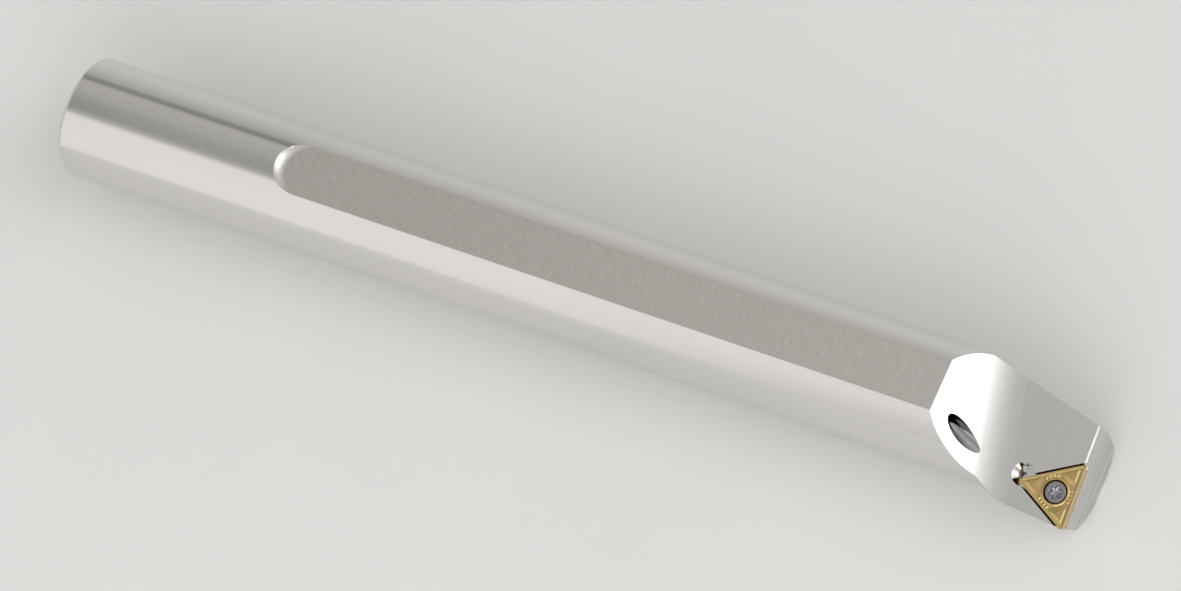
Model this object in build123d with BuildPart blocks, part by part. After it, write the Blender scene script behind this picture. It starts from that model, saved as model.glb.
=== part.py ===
from build123d import *
from math import cos, radians, sin, sqrt, tan
import os

os.makedirs("parts", exist_ok=True)

# Boring bar for holes from 25 mm up: a steel bar with a round, double-flatted shank,
# whose head carries one screwed-on triangular carbide insert and a coolant jet.
#
# Frame: the origin is the centre of the shank's rear face. +X runs along the shank
# to the head, +Z is the outward normal of the upper clamping flat, and the cutting
# corner points to -Y, at centre height.

# ---- driving dimensions, in millimetres and degrees --------------------------------

# shank
shank_d = 20.0            # ground diameter
bar_length = 180.0        # rear face to cutting edge
over_flats = 18.0         # across the two clamping flats
rear_chamfer = 0.8
flat_start = 38.3         # rear face to the start of both flats
flat_mill_r = 6.3         # radius of the cutter that mills the flats
flat_corner_r = 1.8       # rounding at that cutter's end

# coolant supply
inlet_thread_d = 9.728    # outside diameter of the rear inlet's G 1/8 thread
inlet_thread_depth = 10.0
inlet_drill_d = 8.8       # its tapping size
inlet_depth = 13.0        # of the full tapping size
inlet_bevel = 0.7
drill_point_angle = 118.0
feed_d = 3.2              # long bore from the inlet to the head
jet_d = 2.85              # outlet that aims at the cutting corner
jet_height = 4.85         # outlet's centre above the bar's axis, on the ramp
jet_offset = 4.75         # outlet's centre from the bar's axis, to the tip side
jet_depth = 7.0           # from the ramp to where the long bore meets the jet
bore_overrun = 0.8        # each of the two bores runs this far past the meeting

# cutting corner
tip_offset = 13.0         # bar's axis to the cutting corner
seat_roll = 10.5          # the seat falls to the tip side by this angle

# head
ramp_length = 24.2        # front to the upper edge of the ramp
ramp_angle = 42.0
ramp_blend_r = 12.0       # hollow between the ramp and the chip floor
head_r = 11.2             # round underside of the head
head_length = 9.2         # front to the end of the flare
flare_length = 6.4        # from the shank's round to the head's round
side_draft = 20.0         # the side below the cutting corner leans in by this angle
side_clearance = 5.0      # and falls away behind it by this one
side_setback = 0.1        # side wall behind the cutting corner
front_width = 16.6        # across the front of the chip floor
back_relief = 15.0        # the back of the head runs at this angle to the axis
back_step = 1.1           # lower back wall behind the upper one
end_setback = 0.1         # end face behind the cutting edge
end_relief = 1.0
end_bevel = 0.25          # broken edge between chip floor and end face

# insert: inscribed circle 6.35, thickness 2.38, one-sided, 7 degrees clearance
side_count = 3
inscribed_d = 6.35
insert_t = 2.38
nose_r = 0.4
insert_clearance = 7.0
insert_hole_d = 2.8
insert_sink_d = 3.85      # mouth of the insert's countersink
sink_mouth = 0.3          # straight part above the countersink
sink_angle = 60.0         # full angle of the countersink and of the screw head
land_w = 0.30             # flat land behind the cutting edges
breaker_depth = 0.14      # chip groove behind the land
boss_d = 4.7              # raised ring round the hole
rib_length = 0.75
rib_width = 0.22
rib_pitch = 0.62
ribs_per_side = 4

# seat in the bar
seat_gap = 0.02           # between the insert's flanks and the pocket's walls
wall_lean = 14.0          # the pocket's walls open upwards by this angle
corner_hole_d = 3.75      # clears the insert's inner corner
corner_hole_inset = 1.15  # its centre, from that corner
corner_hole_turn = -34.0  # and the direction to it
corner_hole_sink = 0.35   # below the seat

# screw, M2.5 with a six-lobed recess
screw_d = 2.5
screw_head_d = 3.3
screw_rim = 0.45          # cylindrical rim above the head's cone
screw_rim_bevel = 0.05
screw_length = 5.8        # below the head's cone
screw_tip_bevel = 0.3
thread_gap = 0.02         # per side, thread in its tapped hole
head_gap = 0.01           # between the head's cone and the countersink
tapped_depth = 5.2        # below the seat
lobe_count = 6
lobe_d = 2.35             # across the recess's lobes
lobe_r = 0.28
recess_depth = 0.75

# cutting bodies
cut_margin = 12.0         # how far they reach past the bar

# ---- sizes worked out from them ----------------------------------------------------

shank_r = shank_d / 2
flat_z = over_flats / 2
head_shift = tip_offset - head_r            # head's round, from the axis to the tip side
cut_span = 2 * (tip_offset + head_r) + cut_margin
edge_length = inscribed_d * sqrt(3)
nose_overshoot = nose_r * (sqrt(3) - 1)     # sharp corner past the rounded one
corner_y = -(tip_offset + nose_overshoot * cos(radians(seat_roll)))
flank_inset = insert_t * tan(radians(insert_clearance))
ramp_x = bar_length - ramp_length
head_x = bar_length - head_length
flare_x = head_x - flare_length
flat_end = ramp_x

# Seat frame: origin at the insert's sharp cutting corner, local x along the front
# cutting edge, local y to the rear, local z out of the insert's top.
along_edge = Vector(0, cos(radians(seat_roll)), sin(radians(seat_roll)))
out_of_top = Vector(0, -sin(radians(seat_roll)), cos(radians(seat_roll)))
floor_plane = Plane(origin=(bar_length, corner_y, 0), x_dir=along_edge, z_dir=out_of_top)
above_floor = Axis(floor_plane.origin, out_of_top)
seat_plane = floor_plane.offset(-insert_t)
insert_centre = (edge_length / 2, inscribed_d / 2)
inner_corner = (edge_length / 2, edge_length * sqrt(3) / 2)
to_front_edge = -90.0       # direction from the insert's centre to that edge
centre_plane = Plane(
    origin=floor_plane.from_local_coords((*insert_centre, 0)),
    x_dir=along_edge,
    z_dir=out_of_top,
)


def upright_wall(point, plan_angle, lean):
    """Plane through point that faces -Y. Seen from above it runs rearwards at
    plan_angle to the axis, towards +Y, and it leans by lean towards +Y as it goes down."""
    rearwards = Vector(-cos(radians(plan_angle)), sin(radians(plan_angle)), 0)
    downwards = Vector(0, sin(radians(lean)), -cos(radians(lean)))
    return Plane(origin=point, x_dir=rearwards, z_dir=rearwards.cross(downwards))


def flat_milling(start, end, height):
    """Space swept by a cutter with rounded corners, along X at the given height."""
    first, last = start + flat_mill_r, end - flat_mill_r
    with BuildPart() as swept:
        for x in (first, last):
            with BuildSketch(Plane.XZ) as half_cutter:
                with Locations((x + flat_mill_r / 2, height + cut_margin / 2)):
                    Rectangle(flat_mill_r, cut_margin)
                outer_low = half_cutter.vertices().group_by(Axis.Y)[0].sort_by(Axis.X)[-1]
                fillet(outer_low, flat_corner_r)
            revolve(axis=Axis((x, 0, 0), (0, 0, 1)))
        with BuildSketch(Plane.YZ.offset(first)) as cutter:
            with Locations((0, height + cut_margin / 2)):
                Rectangle(2 * flat_mill_r, cut_margin)
            fillet(cutter.vertices().group_by(Axis.Y)[0], flat_corner_r)
        extrude(amount=last - first)
    return swept.part


# Coolant: the jet leaves the ramp towards the cutting corner, and the long bore rises
# from the middle of the rear inlet to meet it behind the ramp.
cutting_corner = Vector(bar_length, -tip_offset, 0)
jet_mouth = Vector(
    ramp_x + (flat_z - jet_height) / tan(radians(ramp_angle)), -jet_offset, jet_height
)
jet_aim = (cutting_corner - jet_mouth).normalized()
meeting = jet_mouth - jet_aim * jet_depth
inlet_end = Vector(inlet_depth, 0, 0)
thread_r = inlet_thread_d / 2
drill_r = inlet_drill_d / 2
drill_point = drill_r / tan(radians(drill_point_angle / 2))
feed_aim = (meeting - inlet_end).normalized()

# The hole at the pocket's inner corner
corner_hole_at = (
    inner_corner[0] + corner_hole_inset * cos(radians(corner_hole_turn)),
    inner_corner[1] + corner_hole_inset * sin(radians(corner_hole_turn)),
)

# ---- bodies that are cut away ------------------------------------------------------

upper_flat = flat_milling(flat_start, flat_end + 2 * flat_mill_r, flat_z)
lower_flat = flat_milling(flat_start, flat_end, flat_z).mirror(Plane.XY)

# Walls of the head
side_wall = upright_wall(
    (bar_length, side_setback - tip_offset, 0), side_clearance, side_draft
)
back_corner = floor_plane.from_local_coords(
    ((front_width - tip_offset - corner_y) / cos(radians(seat_roll)), 0, 0)
)
upper_back = -upright_wall(back_corner, back_relief, seat_roll)
lower_back = -upright_wall(back_corner + Vector(0, back_step, 0), back_relief, 0)
end_plane = Plane(
    origin=(bar_length - end_setback, corner_y, 0),
    x_dir=along_edge,
    z_dir=Vector(1, 0, 0) * cos(radians(end_relief)) - out_of_top * sin(radians(end_relief)),
)

# Chip space: above the rolled floor and in front of the ramp, which stays square to
# the bar, so the hollow between them runs at a slant.
ramp_plane = Plane(
    origin=(ramp_x, 0, flat_z),
    x_dir=(0, 1, 0),
    z_dir=(sin(radians(ramp_angle)), 0, cos(radians(ramp_angle))),
)
with BuildPart() as chip_space:
    with BuildSketch(floor_plane):
        with Locations((tip_offset, ramp_length / 2)):
            Rectangle(cut_span, cut_span + ramp_length)
    extrude(amount=cut_margin)
    split(bisect_by=ramp_plane, keep=Keep.TOP)
    ramp_face = faces().sort_by(Axis.X)[0]
    fillet(ramp_face.edges().sort_by(above_floor)[0], ramp_blend_r)

# Pocket: the insert's lower outline with a working gap, widening upwards and open to
# the front and to the tip side.
with BuildPart() as pocket:
    with BuildSketch(seat_plane):
        base_y = -cut_margin / 2
        apex_y = inner_corner[1] - 2 * flank_inset + 2 * seat_gap
        half_base = (apex_y - base_y) / sqrt(3)
        with BuildLine():
            Polyline(
                (inner_corner[0], apex_y),
                (inner_corner[0] - half_base, base_y),
                (inner_corner[0] + half_base, base_y),
                close=True,
            )
        make_face()
    extrude(amount=insert_t + cut_margin / 2, taper=-wall_lean)

# ---- bar ---------------------------------------------------------------------------

with BuildPart() as bar:
    # shank
    with BuildSketch(Plane.YZ):
        Circle(shank_r)
    extrude(amount=flare_x)
    chamfer(edges().sort_by(Axis.X)[0], rear_chamfer)

    # flare: from the shank's round to the larger round of the head, off centre
    with BuildSketch(Plane.YZ.offset(flare_x)):
        Circle(shank_r)
    with BuildSketch(Plane.YZ.offset(head_x)):
        with Locations((-head_shift, 0)):
            Circle(head_r)
    loft()

    # head: the round, and the wedge that carries the cutting corner
    touch = (
        -head_shift - head_r * cos(radians(side_draft)),
        -head_r * sin(radians(side_draft)),
    )
    wedge_height = flat_z - touch[1]
    with BuildSketch(Plane.YZ.offset(head_x)):
        with Locations((-head_shift, 0)):
            Circle(head_r)
        with BuildLine():
            Polyline(
                (-head_shift, 0),
                touch,
                (touch[0] - wedge_height * tan(radians(side_draft)), flat_z),
                (-head_shift, flat_z),
                close=True,
            )
        make_face()
    extrude(amount=head_length + cut_margin / 2)

    # side wall below the cutting corner
    with BuildSketch(side_wall):
        with Locations((head_length / 2, 0)):
            Rectangle(head_length + cut_margin, cut_span)
    extrude(amount=cut_margin, mode=Mode.SUBTRACT)

    # back of the head: an upper wall square to the chip floor, a lower one upright
    for wall in (upper_back, lower_back):
        with BuildSketch(wall):
            Rectangle(cut_span, cut_span)
        extrude(amount=cut_margin, mode=Mode.SUBTRACT)

    # clamping flats
    add(upper_flat, mode=Mode.SUBTRACT)
    add(lower_flat, mode=Mode.SUBTRACT)

    # end face, chip floor and ramp
    with BuildSketch(end_plane):
        Rectangle(cut_span, cut_span)
    extrude(amount=cut_margin, mode=Mode.SUBTRACT)
    add(chip_space.part, mode=Mode.SUBTRACT)
    end_face = faces().sort_by(Axis.X)[-1]
    chamfer(end_face.edges().sort_by(above_floor)[-1], end_bevel)

    # insert pocket with its corner hole and tapped hole
    add(pocket.part, mode=Mode.SUBTRACT)
    with BuildSketch(seat_plane.offset(-corner_hole_sink)):
        with Locations(corner_hole_at):
            Circle(corner_hole_d / 2)
    extrude(amount=corner_hole_sink + insert_t + cut_margin / 2, mode=Mode.SUBTRACT)
    with BuildSketch(seat_plane):
        with Locations(insert_centre):
            Circle(screw_d / 2 + thread_gap)
    extrude(amount=-tapped_depth, mode=Mode.SUBTRACT)

    # coolant: threaded inlet in the rear face, long bore, jet
    with BuildSketch(Plane.XZ):
        with BuildLine():
            Polyline(
                (0, 0),
                (0, thread_r + inlet_bevel),
                (inlet_bevel, thread_r),
                (inlet_thread_depth, thread_r),
                (inlet_thread_depth, drill_r),
                (inlet_depth, drill_r),
                (inlet_depth + drill_point, 0),
                close=True,
            )
        make_face()
    revolve(axis=Axis.X, mode=Mode.SUBTRACT)
    with BuildSketch(Plane(origin=inlet_end - feed_aim * bore_overrun, z_dir=feed_aim)):
        Circle(feed_d / 2)
    extrude(amount=(meeting - inlet_end).length + 2 * bore_overrun, mode=Mode.SUBTRACT)
    with BuildSketch(Plane(origin=meeting - jet_aim * bore_overrun, z_dir=jet_aim)):
        Circle(jet_d / 2)
    extrude(amount=bore_overrun + jet_depth + cut_margin / 2, mode=Mode.SUBTRACT)

bar.part.label = "bar"
export_step(bar.part, "parts/bar.step")

# ---- insert ------------------------------------------------------------------------

with BuildPart() as insert:
    with BuildSketch(floor_plane) as outline:
        with BuildLine():
            Polyline((0, 0), (edge_length, 0), inner_corner, close=True)
        make_face()
        fillet(outline.vertices(), nose_r)
    extrude(amount=-insert_t, taper=insert_clearance)

    # chip groove behind a flat land, round a raised ring with short ribs
    with BuildSketch(floor_plane) as groove:
        add(outline.sketch_local)
        offset(amount=-land_w, mode=Mode.REPLACE)
        with Locations(insert_centre):
            Circle(boss_d / 2, mode=Mode.SUBTRACT)
            with PolarLocations(boss_d / 2, side_count, start_angle=to_front_edge):
                with GridLocations(0, rib_pitch, 1, ribs_per_side):
                    Rectangle(2 * rib_length, rib_width, mode=Mode.SUBTRACT)
    extrude(amount=-breaker_depth, mode=Mode.SUBTRACT)

    with Locations(centre_plane.offset(-sink_mouth).location):
        CounterSinkHole(insert_hole_d / 2, insert_sink_d / 2, insert_t, sink_angle)
insert.part.label = "insert"
export_step(insert.part, "parts/insert.step")

# ---- screw -------------------------------------------------------------------------

half_sink = radians(sink_angle / 2)
sink_to_head = (insert_sink_d - screw_head_d) / 2 / tan(half_sink)
cone_top = sink_mouth + sink_to_head - head_gap / sin(half_sink)
cone_end = cone_top + (screw_head_d - screw_d) / 2 / tan(half_sink)
head_top = cone_top - screw_rim
screw_end = cone_end + screw_length
axial_plane = Plane(origin=centre_plane.origin, x_dir=along_edge, z_dir=(1, 0, 0))

with BuildPart() as insert_screw:
    with BuildSketch(axial_plane):
        with BuildLine():
            Polyline(
                (0, -head_top),
                (screw_head_d / 2, -head_top),
                (screw_head_d / 2, -cone_top),
                (screw_d / 2, -cone_end),
                (screw_d / 2, screw_tip_bevel - screw_end),
                (screw_d / 2 - screw_tip_bevel, -screw_end),
                (0, -screw_end),
                close=True,
            )
        make_face()
    revolve(axis=Axis(centre_plane.origin, out_of_top))
    rim_edge = edges().group_by(Axis(centre_plane.origin, out_of_top))[-1]
    chamfer(rim_edge, screw_rim_bevel)
    with BuildSketch(centre_plane.offset(-head_top)):
        Circle(lobe_d / 2 - lobe_r)
        with PolarLocations(lobe_d / 2 - lobe_r, lobe_count):
            Circle(lobe_r)
    extrude(amount=-recess_depth, mode=Mode.SUBTRACT)
insert_screw.part.label = "insert_screw"
export_step(insert_screw.part, "parts/insert_screw.step")
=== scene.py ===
# %% [markdown]
# # A boring bar with one small triangular insert
#
# The real tool is three things: a steel bar, ground round and milled at one end, a
# coated carbide insert, and the small screw that holds it. The solids come from the
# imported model, in metres, and this lesson dresses them. It starts by loading them.

# %% Load the solids
from math import cos, pi, radians, sin, sqrt, tan

import bpy
import numpy as np
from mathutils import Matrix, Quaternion, Vector


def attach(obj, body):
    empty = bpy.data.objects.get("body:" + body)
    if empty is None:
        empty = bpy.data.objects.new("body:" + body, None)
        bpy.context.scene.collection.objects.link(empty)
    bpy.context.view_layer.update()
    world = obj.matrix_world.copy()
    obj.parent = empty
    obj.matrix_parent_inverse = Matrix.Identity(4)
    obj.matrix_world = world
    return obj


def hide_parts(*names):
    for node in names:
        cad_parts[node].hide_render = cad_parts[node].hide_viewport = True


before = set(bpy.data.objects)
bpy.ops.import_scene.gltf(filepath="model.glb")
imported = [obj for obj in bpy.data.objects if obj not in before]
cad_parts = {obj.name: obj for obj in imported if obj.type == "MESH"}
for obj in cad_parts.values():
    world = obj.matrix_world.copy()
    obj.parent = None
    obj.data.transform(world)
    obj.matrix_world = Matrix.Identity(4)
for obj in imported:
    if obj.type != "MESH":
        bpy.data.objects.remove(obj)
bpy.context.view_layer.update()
print("solids:", sorted(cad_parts))

# %% [markdown]
# ## Sizes
#
# A few sizes of the real tool are needed again here, because a finish has to know
# where each machined face lies. They are in millimetres, as a drawing gives them,
# and each new piece is turned into metres as its mesh is made.

# %% Sizes of the tool, in millimetres and degrees
MM = 0.001
BAR_LENGTH = 180.0
SHANK_R = 10.0
FLAT_HEIGHT = 9.0          # each clamping flat, above or below the axis
FLAT_START = 38.0
UNDERSIDE_X = 164.0        # the head's underside starts here
BORE_END = 145.0           # the coolant's bore reaches this far
JET_START, JET_FRONT = 140.0, 163.5
TIP_OFFSET = 13.0
SEAT_ROLL = radians(10.5)  # the seat falls to the tip side
RAMP_X, RAMP_ANGLE = 155.8, radians(42.0)
JET_R, JET_HEIGHT, JET_OFFSET = 1.425, 4.85, 4.75
CORNER_HOLE_R, CORNER_HOLE_AT = 1.875, (0.953, 5.708)
CORNER_HOLE_SINK = 0.35    # below the seat
INLET_R, INLET_BEVEL, INLET_END = 4.864, 0.7, 10.0
INSCRIBED_R, INSERT_T, NOSE_R = 3.175, 2.38, 0.4
CLEARANCE = radians(7.0)
HOLE_R, SINK_R, SINK_HALF, MOUTH = 1.4, 1.925, radians(30.0), 0.3

along_edge = np.array([0.0, cos(SEAT_ROLL), sin(SEAT_ROLL)])
rearwards = np.array([-1.0, 0.0, 0.0])
out_of_top = np.array([0.0, -sin(SEAT_ROLL), cos(SEAT_ROLL)])
corner_y = -(TIP_OFFSET + NOSE_R * (sqrt(3) - 1) * cos(SEAT_ROLL))
sharp_corner = np.array([BAR_LENGTH, corner_y, 0.0])
insert_centre = sharp_corner + sqrt(3) * INSCRIBED_R * along_edge + INSCRIBED_R * rearwards
tip = np.array([BAR_LENGTH, -TIP_OFFSET, 0.0])


def on_seat(a, b, c):
    """Point of the seat's frame: from the insert's centre, a along its front edge,
    b to the rear and c out of its top, each times its own direction, added up."""
    return (
        insert_centre
        + a[..., None] * along_edge
        + b[..., None] * rearwards
        + c[..., None] * out_of_top
    )


def smooth(value, low, high):
    """0 below low, 1 above high, and an even S between them."""
    t = np.clip((value - low) / (high - low), 0, 1)
    return t * t * (3 - 2 * t)


print("insert's centre, mm:", insert_centre.round(3))

# %% [markdown]
# ## A helper for new surfaces
#
# Each new piece is a grid: rows run along a profile, columns run round it. The grid
# closes on itself round the columns, and its rows either close too, as on a ring, or
# end in a single point at each end, as on a screw. Writing the faces as index
# arithmetic keeps Python out of the loop, so even a fine grid takes no time.

# %% From a grid of points to a mesh
def grid_piece(name, points, material, ring=False):
    """Mesh from points[row, column], in millimetres. Face (i, j) joins the four points
    (i, j), (i + 1, j), (i + 1, j + 1), (i, j + 1), with the columns taken in a circle.
    A ring takes the rows in a circle too. Otherwise each end row shrinks to its mean
    point, and triangles join that point to the next row."""
    rows, cols = points.shape[:2]
    here = np.arange(cols)
    after = np.roll(here, -1)
    if ring:
        grid = np.arange(rows * cols).reshape(rows, cols)
        below, above = grid, np.roll(grid, -1, axis=0)
        co = points.reshape(-1, 3)
        fans = np.empty((0, 3), int)
    else:
        inner = points[1:-1]
        grid = np.arange(inner.shape[0] * cols).reshape(-1, cols)
        below, above = grid[:-1], grid[1:]
        co = np.vstack([inner.reshape(-1, 3), points[0].mean(0), points[-1].mean(0)])
        start, end = len(co) - 2, len(co) - 1
        first, last = grid[0], grid[-1]
        fans = np.vstack([
            np.stack([np.full(cols, start), first[here], first[after]], 1),
            np.stack([np.full(cols, end), last[after], last[here]], 1),
        ])
    quads = np.stack(
        [below[:, here], above[:, here], above[:, after], below[:, after]], -1
    ).reshape(-1, 4)
    mesh = bpy.data.meshes.new(name)
    mesh.vertices.add(len(co))
    mesh.vertices.foreach_set("co", (co * MM).astype(np.float32).ravel())
    corners = np.concatenate([quads.ravel(), fans.ravel()])
    starts = np.concatenate([
        np.arange(len(quads)) * 4, len(quads) * 4 + np.arange(len(fans)) * 3
    ])
    mesh.loops.add(len(corners))
    mesh.loops.foreach_set("vertex_index", corners)
    mesh.polygons.add(len(starts))
    mesh.polygons.foreach_set("loop_start", starts)
    mesh.update(calc_edges=True)
    mesh.shade_smooth()
    mesh.materials.append(material)
    piece = bpy.data.objects.new(name, mesh)
    bpy.context.collection.objects.link(piece)
    size = co.max(0) - co.min(0)
    print(f"{name}: {len(starts)} faces, {size.round(2)} mm")
    return piece


# %% [markdown]
# ## Helpers for node trees
#
# A finish and a room are both small trees of nodes. `Nodes` holds the short methods
# that both use. `Finish` starts a tree with a metal surface, and adds what a machined
# surface needs: a place on the object, a noise, a colour ramp and a bump.

# %% Node trees in few words
class Nodes:
    """A node tree, with short ways to add nodes to it."""

    def __init__(self, tree):
        self.tree = tree

    def add(self, kind, inputs=(), **settings):
        """One node; each input is a value or another node's output."""
        node = self.tree.nodes.new(kind)
        for key, value in settings.items():
            setattr(node, key, value)
        for key, value in dict(inputs).items():
            if isinstance(value, bpy.types.NodeSocket):
                self.tree.links.new(value, node.inputs[key])
            else:
                node.inputs[key].default_value = value
        return node

    def math(self, operation, *values):
        inputs = dict(enumerate(values))
        return self.add("ShaderNodeMath", inputs, operation=operation).outputs[0]

    def mapped(self, value, low, high, at_low, at_high, **settings):
        """at_low where the value is low, at_high where it is high."""
        inputs = dict(enumerate((value, low, high, at_low, at_high)))
        return self.add("ShaderNodeMapRange", inputs, **settings).outputs[0]

    def mixed(self, share, first, second):
        """A colour between two: share = 0 gives the first, 1 the second."""
        inputs = {"Factor": share, "A": first, "B": second}
        return self.add("ShaderNodeMix", inputs, data_type="RGBA").outputs["Result"]

    def ramp(self, value, *stops):
        """Colour ramp through (position, colour) stops."""
        node = self.add("ShaderNodeValToRGB", {"Fac": value})
        line = node.color_ramp.elements
        while len(line) < len(stops):
            line.new(0.5)
        for element, (position, colour) in zip(line, stops):
            element.position = position
            element.color = (*colour, 1.0)
        return node.outputs["Color"]


class Finish(Nodes):
    """A material with a principled surface."""

    def __init__(self, name, **sockets):
        self.material = bpy.data.materials.new(name)
        self.material.use_nodes = True
        super().__init__(self.material.node_tree)
        self.surface = self.tree.nodes["Principled BSDF"]
        for socket, value in sockets.items():
            self.surface.inputs[socket.replace("_", " ")].default_value = value
        self.place = self.add("ShaderNodeTexCoord").outputs["Object"]

    def stretched(self, scale, turn=(0, 0, 0), where=None):
        """A place on the object, turned and then scaled along each axis."""
        where = self.place if where is None else where
        inputs = {"Vector": where, "Rotation": turn, "Scale": scale}
        return self.add("ShaderNodeMapping", inputs).outputs[0]

    def noise(self, where, scale=1.0, detail=3.0, rough=0.5):
        inputs = {"Vector": where, "Scale": scale, "Detail": detail, "Roughness": rough}
        return self.add("ShaderNodeTexNoise", inputs).outputs["Fac"]

    def bump(self, height, distance):
        inputs = {"Height": height, "Distance": distance}
        return self.add("ShaderNodeBump", inputs).outputs["Normal"]

    def feed(self, **sockets):
        """Links outputs to the surface's own sockets."""
        for socket, output in sockets.items():
            self.tree.links.new(output, self.surface.inputs[socket.replace("_", " ")])
        return self.material


# %% [markdown]
# ## Ground and nickel-plated steel
#
# The shank is ground between centres and then plated. The wheel leaves very fine rings
# round the axis, far too fine to model, so they show only as a surface that is smoother
# round the bar than along it. The highlight is therefore drawn out along the axis.

# %% The ground finish
def ground_finish():
    """Rings: a noise drawn out round the axis, with soft clouds in it."""
    finish = Finish(
        "ground_steel", Metallic=1.0, Anisotropic=0.6, Anisotropic_Rotation=0.25
    )
    tangent = finish.add("ShaderNodeTangent", direction_type="RADIAL", axis="X")
    rings = finish.noise(finish.stretched((9000, 40, 40)), detail=2)
    clouds = finish.noise(finish.stretched((18, 60, 60)), detail=2)
    level = finish.math("MULTIPLY_ADD", rings, 0.05, 0.10)
    level = finish.math("MULTIPLY_ADD", clouds, 0.10, level)
    tint = finish.ramp(clouds, (0.3, (0.70, 0.695, 0.68)), (0.7, (0.75, 0.735, 0.715)))
    return finish.feed(Tangent=tangent.outputs[0], Roughness=level, Base_Color=tint)


# %% [markdown]
# ## Milled and drilled faces
#
# An end mill leaves arcs of its own radius on a face it crosses. On the clamping flats
# the arcs overlap and fade in and out. They are a noise drawn out along arcs: its
# first coordinate is x minus the sag of the arc at that y. On the head the cutter
# leaves straight lines. In the holes a drill leaves uneven lines, on a darker grey
# that is painted shade.

# %% The milled and drilled finishes
CUTTER_R = 0.0085          # metres, as the shader's coordinates are


def flat_finish():
    """Arcs: noise over s = x - root(R * R - y * y), in a fine and a coarse scale."""
    finish = Finish("milled_flat", Metallic=1.0, Roughness=0.25)
    x, y, z = finish.add("ShaderNodeSeparateXYZ", {"Vector": finish.place}).outputs
    inside = finish.math("SUBTRACT", CUTTER_R ** 2, finish.math("MULTIPLY", y, y))
    bend = finish.math("SUBTRACT", x, finish.math("SQRT", inside))
    where = finish.add("ShaderNodeCombineXYZ", {"X": bend, "Y": y, "Z": z}).outputs[0]
    fine = finish.stretched((4600, 750, 1), where=where)
    coarse = finish.stretched((2300, 520, 1), where=where)
    arcs = finish.noise(fine, detail=2, rough=0.6)
    patches = finish.noise(coarse, detail=3, rough=0.6)
    height = finish.math("MULTIPLY_ADD", patches, 0.6, finish.math("MULTIPLY", arcs, 0.4))
    tint = finish.ramp(
        patches,
        (0.35, (0.68, 0.64, 0.605)), (0.62, (0.72, 0.685, 0.65)), (0.75, (0.86, 0.82, 0.78)),
    )
    return finish.feed(Base_Color=tint, Normal=finish.bump(height, 0.000007))


def cut_finish(name, scale, turn=(0, 0, 0), rough=0.22, depth=0.0000005, dark=0.70, light=0.74):
    """Straight cutter lines, along the direction where the scale is small."""
    finish = Finish(name, Metallic=1.0)
    lines = finish.noise(finish.stretched(scale, turn), detail=3, rough=0.6)
    low, high = [(grey, grey * 0.99, grey * 0.97) for grey in (dark, light)]
    tint = finish.ramp(lines, (0.35, low), (0.65, high))
    level = finish.math("MULTIPLY_ADD", lines, 0.06, rough - 0.03)
    return finish.feed(Base_Color=tint, Roughness=level, Normal=finish.bump(lines, depth))


ground = ground_finish()
milled_flat = flat_finish()
milled_head = cut_finish("milled_head", (2200, 40, 2200), dark=0.715, light=0.735)
milled_end = cut_finish(
    "milled_end", (200, 20, 800), turn=(-SEAT_ROLL, 0, 0), rough=0.18,
    depth=0.000004, dark=0.45, light=0.66,
)
# The dark grey of the drilled walls is painted shade in the holes; the uneven lines in it are
# the drill's marks.
drilled = cut_finish(
    "drilled_bore_painted_shade", (1200, 1200, 1200), rough=0.18, depth=0.000001, dark=0.36, light=0.46
)
bored = cut_finish(
    "bored_corner", (300, 300, 2500), turn=(-SEAT_ROLL, 0, 0), rough=0.14,
    depth=0.000002, dark=0.62, light=0.76,
)
# The jet's bore is also a dark grey of painted shade, with the drill's marks in it.
jet_bore_painted_shade = cut_finish(
    "jet_bore_painted_shade", (500, 500, 500), rough=0.10, depth=0.0000015, dark=0.34, light=0.46
)
bar_finishes = (ground, milled_flat, milled_head, milled_end, drilled, bored, jet_bore_painted_shade)
print("finishes:", [finish.name for finish in bar_finishes])

# %% [markdown]
# ## The bar's faces
#
# The bar's solid already has the right shape, so the visible bar is a copy of its
# mesh with the loose triangles welded and the solid's exact normals kept. Rebuilding
# the shape by hand would only risk a copy that differs from what was designed.

# %% Weld a copy of the bar
def welded_copy(name, node):
    """Copy of a solid's mesh in which points at the same place are one point. The
    corner normals are read first and set again after, since they are the solid's."""
    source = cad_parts[node].data
    co = np.empty(len(source.vertices) * 3, np.float32)
    source.vertices.foreach_get("co", co)
    index = np.empty(len(source.loops), np.int32)
    source.loops.foreach_get("vertex_index", index)
    normals = np.empty(len(source.loops) * 3, np.float32)
    source.corner_normals.foreach_get("vector", normals)
    starts = np.empty(len(source.polygons), np.int32)
    source.polygons.foreach_get("loop_start", starts)
    co = co.reshape(-1, 3)
    keys, back = np.unique((co * 1e7).round().astype(np.int64), axis=0, return_inverse=True)
    welded = np.empty((len(keys), 3), np.float32)
    welded[back.ravel()] = co
    mesh = bpy.data.meshes.new(name)
    mesh.vertices.add(len(welded))
    mesh.vertices.foreach_set("co", welded.ravel())
    mesh.loops.add(len(index))
    mesh.loops.foreach_set("vertex_index", back.ravel()[index].astype(np.int32))
    mesh.polygons.add(len(starts))
    mesh.polygons.foreach_set("loop_start", starts)
    mesh.update(calc_edges=True)
    mesh.shade_smooth()
    mesh.normals_split_custom_set(normals.reshape(-1, 3).tolist())
    piece = bpy.data.objects.new(name, mesh)
    bpy.context.collection.objects.link(piece)
    print(f"{name}: {len(source.vertices)} loose points, {len(welded)} welded")
    return piece, normals.reshape(-1, 3), starts


bar, corner_normals, face_starts = welded_copy("bar_finished", "bar")
face_count = len(face_starts)
middle = np.empty(face_count * 3, np.float32)
bar.data.polygons.foreach_get("center", middle)
middle = middle.reshape(-1, 3) / MM
facing = corner_normals[face_starts]
x, y, z = middle.T
print("facets:", face_count)

# %% [markdown]
# ## Which finish goes where
#
# On the real bar each face shows the tool that cut it. The finishes could be painted
# on by hand, but each facet's place already tells them apart: its distance from the
# bar's axis, from the jet's axis and from the holes in the seat, and which way it faces.

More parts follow.
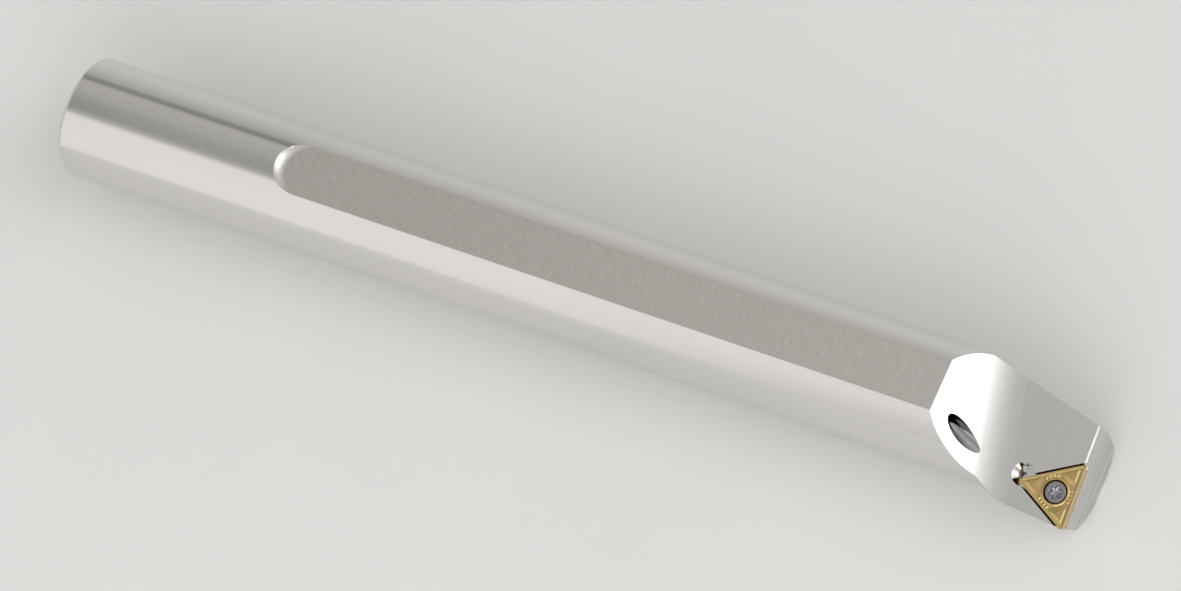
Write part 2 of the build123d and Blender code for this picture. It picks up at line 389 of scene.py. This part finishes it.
# %% Sort the faces by the tool that cut them
NEAR = 0.02                # how far a facet's middle may lie off its round wall
TAPPED_R = 1.3             # the screw's hole in the seat
from_axis = np.hypot(y, z)
over_floor = (middle - sharp_corner) @ out_of_top
seat_a = (middle - insert_centre) @ along_edge
seat_b = (middle - insert_centre) @ rearwards
on_head = x > RAMP_X
rear_face = x < INLET_BEVEL + NEAR

turned = (from_axis > SHANK_R - 0.1) & (facing[:, 2] ** 2 + facing[:, 1] ** 2 > 0.5)
inside_round = from_axis < SHANK_R - 0.001
on_flat = inside_round & (x > FLAT_START) & (x < RAMP_X + 0.1)
on_flat &= (abs(z) > FLAT_HEIGHT - 0.01) & (abs(facing[:, 2]) > 0.98)
under_head = inside_round & (x > UNDERSIDE_X) & (z < 0) & (facing[:, 2] < -0.5)
at_end = (x > BAR_LENGTH - 1.0) & (facing[:, 0] > 0.6)

jet_mouth = np.array([
    RAMP_X + (FLAT_HEIGHT - JET_HEIGHT) / tan(RAMP_ANGLE), -JET_OFFSET, JET_HEIGHT
])
jet_aim = (tip - jet_mouth) / np.linalg.norm(tip - jet_mouth)
from_jet = np.linalg.norm(np.cross(middle - jet_mouth, jet_aim), axis=1)
in_jet = (from_jet < JET_R + NEAR) & (x < JET_FRONT) & (x > JET_START)
in_inlet = (from_axis < INLET_R + 0.1) & ~rear_face & (x < BORE_END)
in_tapped = (np.hypot(seat_a, seat_b) < TAPPED_R) & on_head
from_hole = np.hypot(seat_a - CORNER_HOLE_AT[0], seat_b - CORNER_HOLE_AT[1])
upright = abs(facing @ out_of_top) < 0.3
in_corner = (from_hole < CORNER_HOLE_R + NEAR) & on_head
in_corner &= upright | (over_floor < -INSERT_T - 0.1)

GROUND, FLAT, HEAD, END, DRILLED, BORED, JET = range(len(bar_finishes))
kinds = np.full(face_count, HEAD, np.int32)
kinds[turned | rear_face] = GROUND
kinds[on_flat | under_head] = FLAT
kinds[at_end] = END
kinds[in_inlet | in_tapped] = DRILLED
kinds[in_corner] = BORED
kinds[in_jet] = JET
for finish in bar_finishes:
    bar.data.materials.append(finish)
bar.data.polygons.foreach_set("material_index", kinds)
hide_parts("bar")
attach(bar, "root")
print("faces by finish:", np.bincount(kinds).tolist())

# %% [markdown]
# ## The thread in the rear end
#
# A pipe fitting screws into the rear end. Its thread could be cut with a Boolean, but
# a thin closed sleeve is simpler: its inner wall is the thread, its outer wall lies
# just inside the steel, and the ridges fade to nothing at both ends, as a tap leaves
# them. The radius falls once per pitch, shifted by the angle, which makes the helix.

# %% Thread of the coolant inlet
INLET_PITCH, INLET_CREST = 0.907, 4.283
INLET_ROWS, INLET_COLUMNS, SLEEVE_ROWS = 176, 128, 8
FADE_IN, FADE_OUT = 0.7, 1.2
GAP, SKIN = 0.004, 0.06    # a lining's face inside the wall, and its back in the steel


def inlet_points():
    """Rows along the inner wall and back along the outer one. Inner radius = the
    wall's radius less the ridge times a rounded wave of (x / pitch - turns)."""
    first, last = INLET_BEVEL + 0.01, INLET_END - 0.01
    along = np.linspace(first, last, INLET_ROWS)
    turn = np.linspace(0, 2 * pi, INLET_COLUMNS, endpoint=False)
    wave = (along[:, None] / INLET_PITCH - turn[None] / (2 * pi)) % 1.0
    ridge = smooth(1 - abs(2 * wave - 1), 0.05, 0.95)
    fade = smooth(along, INLET_BEVEL, INLET_BEVEL + FADE_IN)
    fade = fade * smooth(-along, -INLET_END, FADE_OUT - INLET_END)
    ridges = INLET_R - GAP - (INLET_R - INLET_CREST) * ridge * fade[:, None]
    sleeve = np.full((SLEEVE_ROWS, INLET_COLUMNS), INLET_R + SKIN)
    radius = np.vstack([ridges, sleeve])
    rows_x = np.concatenate([along, np.linspace(last, first, SLEEVE_ROWS)])
    x = np.repeat(rows_x[:, None], INLET_COLUMNS, 1)
    return np.stack([x, radius * np.cos(turn), radius * np.sin(turn)], -1)


# The thread takes the drilled finish, so its dark grey is painted shade in the bore.
inlet_thread = grid_piece("inlet_thread", inlet_points(), drilled, ring=True)
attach(inlet_thread, "root")

# %% [markdown]
# ## The relieved side of the corner hole
#
# Behind the insert's inner corner the hole is relieved by a sloping cut, which clears
# the chips and catches the light. Cutting the copied bar would be one way. A closed
# ring laid into the hole is simpler: its section is a slope, a drop and a small root,
# and it shrinks to nothing on the side where the insert stands.

# %% Relief of the hole
RELIEF, RELIEF_FALL, ROOT_R = 1.0, 0.92, 0.45
RIM_SINK = 0.02            # the slope starts this far below the chip floor
RELIEF_SIDE = radians(85.0)
LEAST_SHARE, NO_RELIEF, FULL_RELIEF = 0.02, 0.35, 0.75
RELIEF_COLUMNS = 160


def corner_relief_points():
    """Section at each angle, scaled by a share: a slope from the rim inwards, a drop
    to a rounded root, the floor, and back just outside the wall. The share is a
    smooth S of the cosine of the angle from the side behind the insert."""
    turn = np.linspace(0, 2 * pi, RELIEF_COLUMNS, endpoint=False)
    wave = smooth(np.cos(turn - RELIEF_SIDE), NO_RELIEF, FULL_RELIEF)
    share = LEAST_SHARE + (1 - LEAST_SHARE) * wave
    wall, floor_c = CORNER_HOLE_R - GAP, GAP - INSERT_T - CORNER_HOLE_SINK
    full = -RIM_SINK - floor_c
    foot = RELIEF + 0.015
    step = np.linspace(0, 1, 9)
    drop_top = full - RELIEF * RELIEF_FALL
    bend = np.linspace(0, pi / 2, 10)[1:]
    slope = np.stack([RELIEF * step, full - RELIEF * RELIEF_FALL * step], 1)
    drop = np.stack([np.full(7, foot), np.linspace(drop_top - 0.03, ROOT_R, 7)], 1)
    root = np.stack([foot + ROOT_R * (1 - np.cos(bend)), ROOT_R * (1 - np.sin(bend))], 1)
    inwards, up = np.vstack([slope, drop, root]).T
    radius = wall - share * inwards[:, None]
    c = floor_c + share * up[:, None]
    outer_r = np.full(RELIEF_COLUMNS, wall + SKIN)
    below = np.full(RELIEF_COLUMNS, floor_c - SKIN)
    back_r = np.stack([radius[-1], outer_r, outer_r])
    back_c = np.stack([below, below, c[0]])
    radius, c = np.vstack([radius, back_r]), np.vstack([c, back_c])
    a = CORNER_HOLE_AT[0] + radius * np.cos(turn)
    b = CORNER_HOLE_AT[1] + radius * np.sin(turn)
    return on_seat(a, b, c)


corner_relief = grid_piece("corner_hole_relief", corner_relief_points(), bored, ring=True)
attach(corner_relief, "root")

# %% [markdown]
# ## The insert
#
# A pressed and sintered carbide insert is one closed skin. Its profile runs in over
# the top from the cutting edge, down through the screw's countersink and hole, out
# across the bottom and up the clearance face. Carrying that profile round the rounded
# triangle gives a grid that closes both ways, like a ring.

# %% The triangle's outline
SIDE_POINTS, NOSE_POINTS = 150, 26
NOSE_REACH = 2 * (INSCRIBED_R - NOSE_R)
corner_angles = np.radians([-30.0, 90.0, 210.0])
nose_centres = NOSE_REACH * np.stack([np.cos(corner_angles), np.sin(corner_angles)], 1)


def outline_directions():
    """Two directions for each column: where its nose centre lies, and which way the
    edge faces. On a nose the first stays and the second turns by 120 degrees; on a
    side the second stays and the first moves evenly from one corner to the next."""
    centres, normals = [], []
    turn = np.linspace(-pi / 3, pi / 3, NOSE_POINTS, endpoint=False)
    ease = np.linspace(0, 1, SIDE_POINTS, endpoint=False)
    for angle, following in zip(corner_angles, np.roll(corner_angles, -1)):
        here = np.array([cos(angle), sin(angle)])
        there = np.array([cos(following), sin(following)])
        centres.append(np.repeat(here[None], NOSE_POINTS, 0))
        normals.append(np.stack([np.cos(angle + turn), np.sin(angle + turn)], 1))
        side = angle + pi / 3
        centres.append(here + ease[:, None] * (there - here))
        normals.append(np.repeat([[cos(side), sin(side)]], SIDE_POINTS, 0))
    return np.vstack(centres), np.vstack(normals)


to_nose, edge_normal = outline_directions()


def outline(inset):
    """Rounded triangle moved inwards by inset: nose centres at 2 (R - r) from the
    middle, plus the nose radius, less the inset, along the edge's own normal."""
    return NOSE_REACH * to_nose + (NOSE_R - inset) * edge_normal


print("outline:", len(to_nose), "points, nose centres at", round(NOSE_REACH, 3), "mm")

# %% [markdown]
# ## The chip former
#
# The press that shapes the powder also gives the top its chip former: a narrow land
# at the edge, a groove that curls the chip, a floor that rises near each nose, a ring
# round the hole, and short ribs along each side. All of it is one height over the
# plane, worked out at each point, so no feature has to be cut from another.

# %% The chip former on top
LAND, GROOVE, GROOVE_END = 0.12, 0.09, 0.50
WALL_START, WALL_END, WALL_RISE = 0.50, 0.86, 0.07
WALL_FAR, WALL_FADE = 3.4, 1.2
BOSS_R = 2.18
RIB_WIDTH, RIB_PITCH, RIB_HEIGHT = 0.13, 0.62, 0.11
RIB_FROM, RIB_TO, RIB_OUT = 2.3, 3.02, 1.4


def edge_distance(a, b):
    """Distance in from the rounded outline: the nose radius, plus or minus the
    distance to the triangle that joins the nose centres."""
    point = np.stack([a, b], -1)
    nearest = np.full(a.shape, np.inf)
    inner = np.full(a.shape, np.inf)
    for start, end in zip(nose_centres, np.roll(nose_centres, -1, 0)):
        run = end - start
        share = np.clip(((point - start) @ run) / (run @ run), 0, 1)
        gap = np.linalg.norm(point - start - share[..., None] * run, axis=-1)
        nearest = np.minimum(nearest, gap)
        outwards = np.array([run[1], -run[0]]) / np.linalg.norm(run)
        inner = np.minimum(inner, (start - point) @ outwards)
    return NOSE_R + np.where(inner > 0, nearest, -nearest)


def top_height(a, b):
    """Height over the top plane. Groove and floor are smooth S curves of the distance
    from the edge, and the ring is one of the radius. A rib is e to the power
    -(distance across it / width) squared."""
    from_edge = edge_distance(a, b)
    radius = np.hypot(a, b)
    height = -GROOVE * smooth(from_edge, LAND, GROOVE_END)
    from_nose = np.min([np.hypot(a - u, b - v) for u, v in nose_centres], axis=0)
    near_nose = smooth(-from_nose, -WALL_FAR, WALL_FADE - WALL_FAR)
    plateau = smooth(from_edge, WALL_START, WALL_END) * near_nose
    height = height + (GROOVE + WALL_RISE) * plateau
    ring = smooth(-radius, -BOSS_R - 0.12, -BOSS_R + 0.06)
    height = np.maximum(height, -GROOVE * (1 - ring))
    ribs = np.zeros_like(height)
    for side in corner_angles + pi / 3:
        out = a * cos(side) + b * sin(side)
        along = -a * sin(side) + b * cos(side)
        for step in (-1.5, -0.5, 0.5, 1.5):
            across = np.exp(-((along - step * RIB_PITCH) / RIB_WIDTH) ** 2)
            rib = across * smooth(radius, RIB_FROM, RIB_FROM + 0.2)
            rib = rib * smooth(-radius, -RIB_TO, 0.32 - RIB_TO) * (out > RIB_OUT)
            ribs = np.maximum(ribs, rib)
    return height + RIB_HEIGHT * ribs * (1 - ring)


across = np.linspace(BOSS_R, INSCRIBED_R, 60)
groove = top_height(across * cos(pi / 6), across * sin(pi / 6))
print("groove's depth at the middle of a side, mm:", -groove.min().round(3))

# %% [markdown]
# ## One skin for the insert
#
# The rows start at the cutting edge and end just below it on the flank. Close rows on
# both sides of a corner keep that corner crisp under smooth shading. Each flank row is
# the outline moved inwards by its depth times the tangent of the clearance angle.

# %% Build the insert
HONE = 0.02                # rounding of the cutting edge
TOP_ROWS, TOP_ROWS_INNER = 46, 50


def insert_points():
    """Rows of the insert's skin: the top from the edge to the countersink, the
    countersink, the hole, the bottom, and the flank back up to the edge."""
    edge = outline(HONE)
    angle = np.arctan2(edge[:, 1], edge[:, 0])
    round_hole = np.stack([np.cos(angle), np.sin(angle)], 1)
    share = np.concatenate([
        np.linspace(0, 0.3, TOP_ROWS), np.linspace(0.3, 1, TOP_ROWS_INNER)[1:],
    ])
    rim = SINK_R + 0.03
    top = edge[None] + share[:, None, None] * (rim * round_hole - edge)[None]
    top_c = top_height(top[..., 0], top[..., 1])
    top_c[0] -= HONE / 5
    sink_end = -MOUTH - (SINK_R - HOLE_R) / tan(SINK_HALF)
    hole = [(SINK_R + 0.01, -0.01), (SINK_R, -0.04), (SINK_R, 0.03 - MOUTH)]
    hole += [(SINK_R - 0.02, -MOUTH - 0.03), (HOLE_R + 0.02, sink_end + 0.035)]
    hole += [(HOLE_R, sink_end), (HOLE_R, sink_end - 0.06)]
    hole += [(HOLE_R, 0.06 - INSERT_T), (HOLE_R + 0.03, -INSERT_T)]
    hole_rows = [r * round_hole for r, _ in hole]
    hole_c = [c for _, c in hole]
    mouth = hole_rows[-1]
    foot = outline(INSERT_T * tan(CLEARANCE) + HONE)
    base_rows = [mouth * (1 - s) + foot * s for s in (0.1, 0.5, 0.98, 1.0)]
    depth = np.array([INSERT_T - 0.02, INSERT_T - 0.06, 1.8, 1.2, 0.6, 0.1, 0.03, 0.012])
    flank_rows = [outline(t * tan(CLEARANCE)) for t in depth]
    plan = np.concatenate([top, np.stack(hole_rows + base_rows + flank_rows)])
    low = np.concatenate([hole_c, np.full(len(base_rows), -INSERT_T), -depth])
    c = np.concatenate([top_c, np.repeat(low[:, None], len(edge), 1)])
    return on_seat(plan[..., 0], plan[..., 1], c)


insert_grid = insert_points()
print("insert's grid, rows and columns:", insert_grid.shape[:2])

# %% [markdown]
# ## The gold-coloured coating
#
# A hard coating a few thousandths of a millimetre thick follows the pressed surface.
# It is a metal in look, warm yellow, with a fine grain from the carbide below.

# %% Coating and insert
def coating_finish():
    """Fine grain in the roughness and the bump, and a slow cloud in the colour."""
    finish = Finish("gold_coating", Metallic=1.0, Roughness=0.3)
    grain = finish.noise(finish.place, scale=9000, detail=3)
    cloud = finish.noise(finish.place, scale=700, detail=3)
    tint = finish.ramp(cloud, (0.3, (0.61, 0.44, 0.185)), (0.7, (0.67, 0.495, 0.22)))
    level = finish.math("MULTIPLY_ADD", grain, 0.10, 0.20)
    return finish.feed(Base_Color=tint, Roughness=level, Normal=finish.bump(grain, 0.0000007))


insert = grid_piece("insert_coated", insert_grid, coating_finish(), ring=True)
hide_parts("insert")
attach(insert, "root")

# %% [markdown]
# ## The screw
#
# The screw is an M2.5 with a cone under its head and a six-lobed recess. Round the
# axis the recess's radius swings six times, and along the thread the radius swings
# once per pitch, shifted by the angle, which is what makes it a helix.

# %% The screw's profile, carried round
SCREW_COLUMNS, THREAD_ROWS = 192, 150
HEAD_R, SCREW_R, PITCH, THREAD_DEPTH = 1.65, 1.25, 0.45, 0.27
HEAD_RIM, THREAD_LENGTH = 0.45, 5.8
LOBE_R, LOBE_SWING, LOBE_ROUND = 1.01, 0.165, 0.02
FACE_R = 1.55              # where the head's flat face ends
CONE_TOP = MOUTH + (SINK_R - HEAD_R) / tan(SINK_HALF) - 0.02
CONE_END = CONE_TOP + (HEAD_R - SCREW_R) / tan(SINK_HALF)
HEAD_TOP = CONE_TOP - HEAD_RIM
SCREW_END = CONE_END + THREAD_LENGTH


def head_rows(turn):
    """(radius, height) of each row from the recess's floor to the thread. The
    recess's radius = its mean + a swing of cos 6 angle - a little of cos 12 angle."""
    lobes = LOBE_R + LOBE_SWING * np.cos(6 * turn) - LOBE_ROUND * np.cos(12 * turn)
    flat = np.ones_like(turn)
    top, neck, end = -HEAD_TOP, -CONE_TOP, -CONE_END
    rows = [(0 * flat, top - 1.05), (0.45 * flat, top - 0.95)]
    rows += [(lobes * 0.93, top - 0.72), (lobes * 0.97, top - 0.68)]
    rows += [(lobes * 0.985, top - 0.10), (lobes, top - 0.06)]
    rows += [(lobes + 0.05, top - 0.015), (lobes + 0.09, top)]
    rows += [(0.5 * (lobes + FACE_R), top), (FACE_R * flat, top)]
    rows += [((HEAD_R - 0.05) * flat, top - 0.012), ((HEAD_R - 0.015) * flat, top - 0.035)]
    rows += [(HEAD_R * flat, top - 0.07), (HEAD_R * flat, neck + 0.01)]
    rows += [((HEAD_R - 0.01) * flat, neck - 0.01)]
    rows += [((SCREW_R + 0.01) * flat, end + 0.02), (SCREW_R * flat, end - 0.02)]
    return rows


def screw_points():
    """The head's rows, then the thread, then the point. Thread radius = the outer
    radius less the depth times a clipped triangle wave of (height / pitch - turns)."""
    turn = np.linspace(0, 2 * pi, SCREW_COLUMNS, endpoint=False)
    rows = head_rows(turn)
    heights = np.linspace(-CONE_END - 0.05, 0.31 - SCREW_END, THREAD_ROWS)
    wave = (heights[:, None] / PITCH - turn[None] / (2 * pi)) % 1.0
    tooth = np.clip(1.075 - 2.3 * abs(wave - 0.5), 0, 1)
    fade = smooth(-heights, CONE_END + 0.1, CONE_END + 0.5)[:, None]
    threads = SCREW_R - THREAD_DEPTH * tooth * fade
    point = [threads[-1] * share for share in (0.9, 0.8, 0.0)]
    radius = np.vstack([[r for r, _ in rows], threads, point])
    height = [[h for _, h in rows], heights, [0.1 - SCREW_END, -SCREW_END, -SCREW_END]]
    c = np.repeat(np.concatenate(height)[:, None], SCREW_COLUMNS, 1)
    return on_seat(radius * np.cos(turn), radius * np.sin(turn), c)


screw_grid = screw_points()
print("screw's grid, rows and columns:", screw_grid.shape[:2])

# %% [markdown]
# ## The screw's finish
#
# The screw is hardened, and heat leaves a thin bluish grey skin on it. It is still a
# metal in look, only darker than the bar, so a dark tint with a fine grain is enough.

# %% Finish the screw
def screw_finish():
    """Bluish grey steel, with one fine grain in its colour, roughness and bump."""
    finish = Finish("hardened_screw", Metallic=1.0, Roughness=0.36)
    grain = finish.noise(finish.place, scale=5000, detail=4)
    tint = finish.ramp(grain, (0.3, (0.28, 0.275, 0.31)), (0.7, (0.42, 0.41, 0.46)))
    level = finish.math("MULTIPLY_ADD", grain, 0.14, 0.27)
    return finish.feed(Base_Color=tint, Roughness=level, Normal=finish.bump(grain, 0.000004))


screw = grid_piece("insert_screw_lobed", screw_grid, screw_finish())
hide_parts("insert_screw")
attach(screw, "root")

# %% [markdown]
# ## A pale floor
#
# A bright metal shows its surroundings, so the studio matters as much as the finish.
# The bar lies on a wide pale sheet, dull enough to catch no highlight. A single large
# face is all that it needs, with a faint mottle so that it isn't a flat colour.

# %% Floor
FLOOR_Z, FLOOR_HALF = -0.0112, 6.0


def pale_floor():
    """Nearly white and matt, with slow clouds in its grey."""
    finish = Finish("pale_floor", Roughness=0.9)
    finish.surface.inputs["Specular IOR Level"].default_value = 0.1
    mottle = finish.noise(finish.place, scale=30, detail=4)
    tint = finish.ramp(mottle, (0.0, (0.79, 0.79, 0.78)), (1.0, (0.83, 0.83, 0.82)))
    return finish.feed(Base_Color=tint)


floor_mesh = bpy.data.meshes.new("floor")
corners = [(-1, -1), (1, -1), (1, 1), (-1, 1)]
floor_mesh.from_pydata(
    [(FLOOR_HALF * a, FLOOR_HALF * b, FLOOR_Z) for a, b in corners], [], [(0, 1, 2, 3)]
)
floor_mesh.materials.append(pale_floor())
floor = bpy.data.objects.new("floor", floor_mesh)
bpy.context.collection.objects.link(floor)

# %% [markdown]
# ## The room
#
# The shank is a round mirror drawn out along its length, so each line along it shows
# one height of the room. The room is therefore a grey by height, with two darker
# bands, made even on the near side and ahead of the head. One bright patch lies ahead
# of the head and somewhat above it, for the faces that look that way.

# %% The room
room_greys = [              # height from -0.2 to 1, and the grey there
    (-0.20, 0.74), (-0.05, 0.69), (0.14, 0.60), (0.32, 0.52), (0.43, 0.46),
    (0.47, 0.24), (0.56, 0.24), (0.61, 0.56), (0.76, 0.50), (0.84, 0.42),
    (0.885, 0.26), (0.93, 0.26), (1.00, 0.34),
]
NEAR_GREY, OVER_GREY = (0.70, 0.68, 0.67, 1), (0.575, 0.57, 0.56, 1)
AHEAD_GREY = (0.56, 0.55, 0.54, 1)
PATCH_AT, PATCH_PEAK, PATCH_SHARPNESS = (0.847, 0.28, 0.451), 1.6, 4.5
PATCH_Y, PATCH_FALL = 0.2, 7.0


def grey_room():
    """Grey by height where no mask lies over it, plus a patch:
    peak e^(sharpness (cosine to its middle - 1) - fall (y - its y)^2)."""
    world = bpy.data.worlds.new("grey_room")
    world.use_nodes = True
    bpy.context.scene.world = world
    room = Nodes(world.node_tree)
    direction = room.add("ShaderNodeTexCoord").outputs["Generated"]
    x, y, z = room.add("ShaderNodeSeparateXYZ", {"Vector": direction}).outputs

    def mask(value, low, high, at_low, at_high):
        return room.mapped(value, low, high, at_low, at_high, interpolation_type="SMOOTHSTEP")

    height = room.mapped(z, -0.2, 1.0, 0.0, 1.0)
    stops = [((h + 0.2) / 1.2, (g * 1.02, g, g * 0.965)) for h, g in room_greys]
    total = room.mixed(mask(y, -0.40, -0.14, 1.0, 0.0), room.ramp(height, *stops), NEAR_GREY)
    overhead = mask(z, 0.80, 0.90, 0.0, 1.0)
    to_head = mask(x, -0.42, -0.35, 0.0, 1.0)
    total = room.mixed(room.math("MULTIPLY", overhead, to_head), total, OVER_GREY)
    total = room.mixed(mask(x, -0.30, -0.05, 0.0, 1.0), total, AHEAD_GREY)

    inputs = {0: direction, 1: Vector(PATCH_AT).normalized()}
    cosine = room.add("ShaderNodeVectorMath", inputs, operation="DOT_PRODUCT").outputs["Value"]
    fall = room.math("MULTIPLY", room.math("SUBTRACT", cosine, 1.0), PATCH_SHARPNESS)
    aside = room.math("SUBTRACT", y, PATCH_Y)
    fall = room.math("MULTIPLY_ADD", room.math("MULTIPLY", aside, aside), -PATCH_FALL, fall)
    patch = room.math("MULTIPLY", room.math("EXPONENT", fall), PATCH_PEAK)
    total = room.add("ShaderNodeVectorMath", {0: total, 1: patch}, operation="ADD").outputs[0]
    room.tree.links.new(total, room.tree.nodes["Background"].inputs["Color"])
    return world


print("room:", grey_room().name, "with", len(room_greys), "greys by height")

# %% [markdown]
# ## Two soft lights
#
# A studio lamp is a lit sheet in a box. A tall, dim one beyond the bar's rear end lights
# the shank from its side. A wide one in front, on the tip's side, lights the faces that
# the end mill cut. Both are large, so no highlight has a hard edge.

# %% Soft lights
def soft_light(name, centre, aim, width, height, radiance):
    """A rectangular lamp whose face has the given brightness: its power is pi times
    its area times that."""
    data = bpy.data.lights.new(name, "AREA")
    data.shape, data.size, data.size_y = "RECTANGLE", width, height
    data.energy = radiance * pi * width * height
    lamp = bpy.data.objects.new(name, data)
    lamp.location = centre
    lamp.rotation_euler = (Vector(aim) - Vector(centre)).to_track_quat("-Z", "Y").to_euler()
    lamp.visible_camera = False
    bpy.context.collection.objects.link(lamp)
    print(f"{name}: {data.energy:.2f} W")


soft_light("left_softbox", (-0.755, -0.8, 1.0), (-0.755, 0.0, 1.0), 1.2, 2.0, 0.28)
soft_light("front_fill", (0.55, -0.85, 0.5), (0.1, 0.0, 0.0), 1.0, 0.9, 1.7)

# %% [markdown]
# ## Camera
#
# The camera looks down on the bar with a long lens, turned so that the bar falls
# from the upper left to the lower right of the frame.

# %% Camera
FROM = Vector((0.46536, -0.28139, 0.91277))
TO = Vector((0.093399, -0.001631, 0.0))
ROLL = radians(-31.1678)
SENSOR_WIDTH = 36.0        # millimetres
FOCAL_LENGTH, FRAME_WIDTH = 6500, 1181     # both in pixels

camera_data = bpy.data.cameras.new("camera")
camera_data.sensor_width = SENSOR_WIDTH
camera_data.lens = SENSOR_WIDTH * FOCAL_LENGTH / FRAME_WIDTH
camera = bpy.data.objects.new("camera", camera_data)
bpy.context.collection.objects.link(camera)
ahead = (TO - FROM).normalized()
level = ahead.to_track_quat("-Z", "Y")
camera.rotation_mode = "QUATERNION"
camera.rotation_quaternion = Quaternion(ahead, -ROLL) @ level
camera.location = FROM
bpy.context.scene.camera = camera
bpy.context.scene.view_settings.view_transform = "Standard"
print("lens, mm:", round(camera_data.lens, 1), "distance, m:", round((TO - FROM).length, 3))
